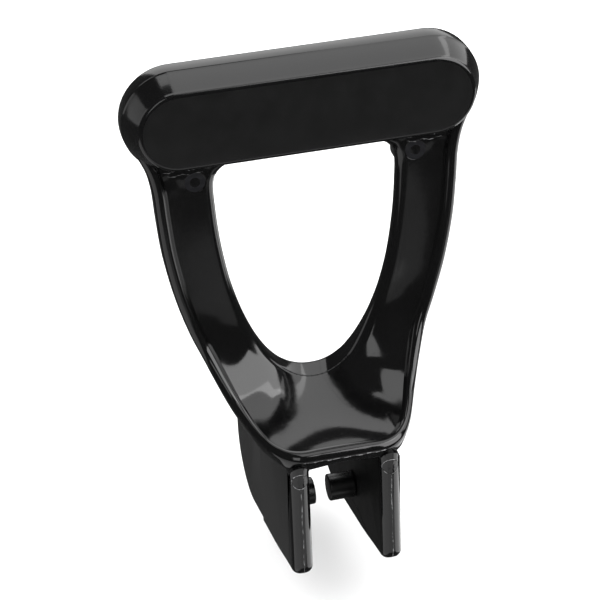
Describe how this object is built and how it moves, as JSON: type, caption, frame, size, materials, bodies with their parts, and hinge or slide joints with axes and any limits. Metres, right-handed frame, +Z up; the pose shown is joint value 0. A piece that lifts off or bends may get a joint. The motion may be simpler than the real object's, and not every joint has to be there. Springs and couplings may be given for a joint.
{
  "type": "car door pull handle",
  "caption": "Black moulded pull handle: a flat T-bar grip on two arms, a scoop below the finger opening, and a fork with inward pivot pins.",
  "frame": {"origin": "on the pivot pins' common axis, midway between the two cheeks", "axes": "+X to the handle's right along the pivot axis, +Y towards its back, +Z up from the pivot to the grip"},
  "size_m": [0.1254, 0.0908, 0.1934],
  "materials": {
    "body_plastic": "glossy moulded black",
    "grip_plastic": "glossy black with a satin front face",
    "dowel_plastic": "glossy moulded black",
    "pin_plastic": "satin moulded black",
    "black_screw": "black oxide",
    "spine_steel": "plain flat steel bar"
  },
  "bodies": {
    "pivot": {"left_pivot_pin": "pin_plastic", "right_pivot_pin": "pin_plastic"},
    "handle": {"yoke": "body_plastic", "left_cheek": "body_plastic", "right_cheek": "body_plastic", "left_cheek_dowel": "dowel_plastic", "right_cheek_dowel": "dowel_plastic", "grip_front_shell": "grip_plastic", "grip_rear_shell": "grip_plastic", "grip_screws": "black_screw", "grip_spine": "spine_steel"}
  },
  "joints": [
    {"name": "handle_swing", "type": "hinge", "parent": "pivot", "child": "handle", "pos_m": [0, 0, 0], "axis": [1, 0, 0], "range_deg": [0, 40]}
  ]
}
